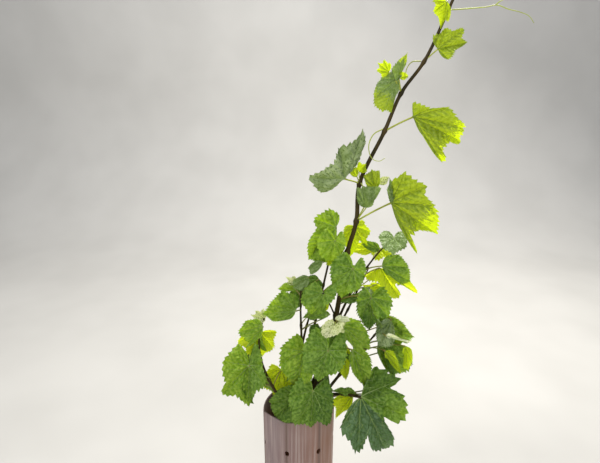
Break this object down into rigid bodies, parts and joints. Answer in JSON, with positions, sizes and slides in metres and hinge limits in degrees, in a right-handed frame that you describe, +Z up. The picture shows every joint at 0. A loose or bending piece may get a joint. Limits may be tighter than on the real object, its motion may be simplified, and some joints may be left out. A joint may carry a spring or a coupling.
{
  "type": "grapevine",
  "caption": "Young grapevine in leaf: a bushy head of shoots over a folded plastic grow tube, and one long shoot leaning up to the right.",
  "frame": {"origin": "middle of the flat cut under the trunk, at ground level", "axes": "+Z up, +X to the right and +Y away as the picture looks at the plant"},
  "size_m": [0.5016, 0.2421, 1.3203],
  "materials": {
    "bark": "rough, striped bark",
    "cane": "satin, finely ribbed green and brown cane",
    "leaves": "satin leaf with raised veins",
    "young_leaves": "glossy young leaf",
    "tube_sheet": "ribbed twin-wall sheet, a little translucent"
  },
  "bodies": {
    "root": {"trunk": "bark", "main_shoot": "cane", "left_shoot": "cane", "far_left_shoot": "cane", "right_shoot": "cane", "right_low_shoot": "cane", "centre_shoot": "cane", "back_shoot": "cane", "back_right_shoot": "cane", "grow_tube": "tube_sheet", "far_left_low_leaves": "leaves", "far_left_upper_leaves": "leaves", "left_middle_leaves": "leaves", "front_low_leaves": "leaves", "front_middle_leaves": "leaves", "right_low_leaves": "leaves", "left_upper_leaves": "leaves", "centre_upper_leaves": "leaves", "right_middle_leaves": "leaves", "right_upper_leaves": "leaves", "top_leaves": "leaves", "back_low_leaves": "leaves", "back_left_leaves": "leaves", "back_right_leaves": "leaves", "back_upper_leaves": "leaves", "upper_leaf_1": "young_leaves", "upper_leaf_2": "young_leaves", "upper_leaf_3": "young_leaves", "upper_leaf_4": "young_leaves", "upper_leaf_5": "young_leaves", "upper_leaf_6": "young_leaves", "upper_leaf_7": "young_leaves", "upper_leaf_8": "young_leaves", "upper_leaf_9": "young_leaves", "upper_leaf_10": "young_leaves", "long_tendril": "young_leaves", "tip_leaves": "young_leaves"}
  },
  "joints": []
}
